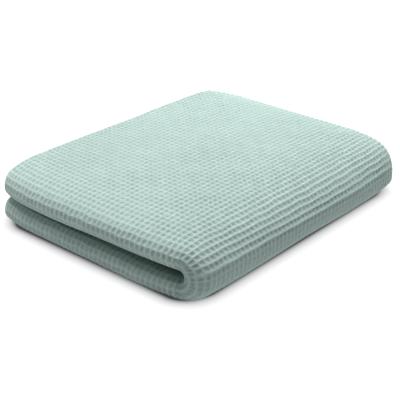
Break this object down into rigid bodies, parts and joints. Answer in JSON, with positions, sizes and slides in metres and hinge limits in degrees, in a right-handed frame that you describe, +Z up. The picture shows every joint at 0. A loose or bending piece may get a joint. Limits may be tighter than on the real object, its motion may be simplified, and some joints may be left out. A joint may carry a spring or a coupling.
{
  "type": "folded waffle-weave bedspread",
  "caption": "Waffle-weave cotton bedspread, hemmed and folded into a thick flat package with round folds along two sides.",
  "frame": {"origin": "on the surface it rests on, under the middle of the folded package", "axes": "+Z up, X along the package's longer side, last fold facing -Y, round short end facing -X"},
  "size_m": [0.3836, 0.2962, 0.063],
  "materials": {
    "waffle_cotton": "matt mint-green cotton in a square waffle weave, fine raised ridges round sunken cells"
  },
  "bodies": {
    "root": {"bedspread": "waffle_cotton"}
  },
  "joints": []
}
